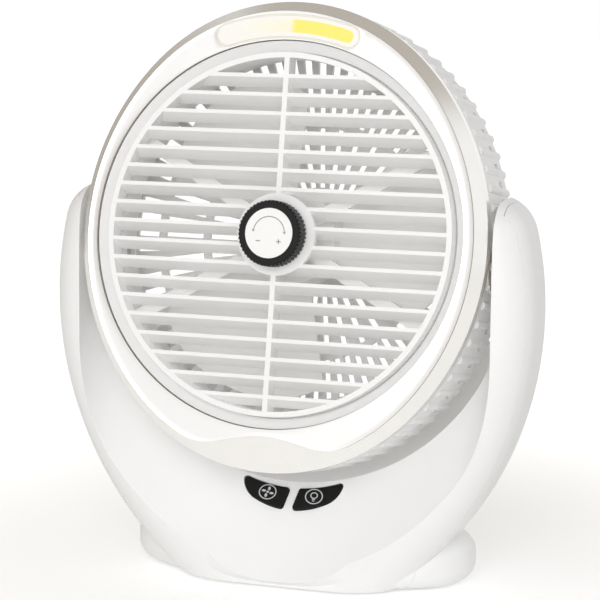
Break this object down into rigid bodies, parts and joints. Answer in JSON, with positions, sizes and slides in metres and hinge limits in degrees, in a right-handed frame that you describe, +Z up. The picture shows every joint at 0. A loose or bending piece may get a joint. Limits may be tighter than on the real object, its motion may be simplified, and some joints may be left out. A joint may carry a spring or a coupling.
{
  "type": "rechargeable desk fan",
  "caption": "White rechargeable desk fan: oval head with a lamp arc, a louvre wheel that turns by hand and a blade wheel, tilting between the arms of a bowl-shaped base with push buttons.",
  "frame": {"origin": "on the table, at the middle of the object's width and depth", "axes": "+Z up, the louvre wheel and the buttons face -Y, +X to the right as seen from the front"},
  "size_m": [0.218, 0.0959, 0.2515],
  "materials": {
    "white_plastic": "satin white ABS",
    "silver_plastic": "silver-grey satin ABS",
    "face_plastic": "pale satin ABS",
    "black_plastic": "matt black ABS",
    "inner_plastic": "natural nylon",
    "washer_plastic": "natural nylon",
    "blade_plastic": "white polypropylene",
    "foot_rubber": "soft dark rubber",
    "screw_steel": "zinc-plated steel",
    "motor_steel": "plated steel",
    "socket_steel": "plated steel",
    "stud_brass": "turned brass",
    "cell_wrap": "film-wrapped cells",
    "switch_black": "moulded plastic",
    "board_green": "lacquered circuit board",
    "board_white": "white lacquered circuit board",
    "lens_clear": "frosted acrylic",
    "lamp_yellow": "yellow phosphor",
    "lamp_white": "pale phosphor"
  },
  "bodies": {
    "base": {"base_front_shell": "white_plastic", "base_rear_shell": "white_plastic", "bottom_plate": "white_plastic", "bottom_screws": "screw_steel", "rubber_feet": "foot_rubber", "shell_screws": "screw_steel", "tact_switches": "switch_black", "control_board": "board_green", "battery_cells": "cell_wrap", "battery_cradle": "inner_plastic", "charge_socket": "socket_steel", "charge_board": "board_green", "pivot_pins": "screw_steel", "tilt_washers": "washer_plastic"},
    "head": {"tilt_bushes": "inner_plastic", "trim_ring": "face_plastic", "bezel": "silver_plastic", "light_lens": "lens_clear", "lamp_board": "board_white", "lamp_strip_yellow": "lamp_yellow", "lamp_strip_white": "lamp_white", "head_housing": "white_plastic", "rear_grille": "white_plastic", "grille_screws": "screw_steel", "louvre_spider": "white_plastic", "louvre_stud": "stud_brass", "motor_can": "motor_steel", "motor_bearing": "stud_brass"},
    "louvre": {"louvre_wheel": "white_plastic"},
    "knob": {"knob_grip": "black_plastic", "knob_cap": "white_plastic", "knob_insert": "stud_brass", "knob_washer": "washer_plastic"},
    "rotor": {"blade_wheel": "blade_plastic", "motor_shaft": "screw_steel"},
    "fan_key": {"fan_button": "black_plastic"},
    "light_key": {"light_button": "black_plastic"}
  },
  "joints": [
    {"name": "head_tilt", "type": "hinge", "parent": "base", "child": "head", "pos_m": [0, -0.01, 0.14], "axis": [1, 0, 0], "range_deg": [-75, 25]},
    {"name": "rotor_spin", "type": "hinge", "parent": "head", "child": "rotor", "pos_m": [0, -0.03057, 0.15492], "axis": [0, -0.9823, 0.1874], "continuous": true},
    {"name": "louvre_turn", "type": "hinge", "parent": "head", "child": "louvre", "pos_m": [0, -0.03057, 0.15492], "axis": [0, -0.9823, 0.1874], "continuous": true},
    {"name": "knob_turn", "type": "hinge", "parent": "head", "child": "knob", "pos_m": [0, -0.03057, 0.15492], "axis": [0, -0.9823, 0.1874], "range_deg": [0, 180]},
    {"name": "fan_button_press", "type": "slide", "parent": "base", "child": "fan_key", "axis": [0, 0.8619, -0.507], "range_m": [0, 0.0008], "stiffness_N_per_m": 1500},
    {"name": "light_button_press", "type": "slide", "parent": "base", "child": "light_key", "axis": [0, 0.8619, -0.507], "range_m": [0, 0.0008], "stiffness_N_per_m": 1500}
  ]
}
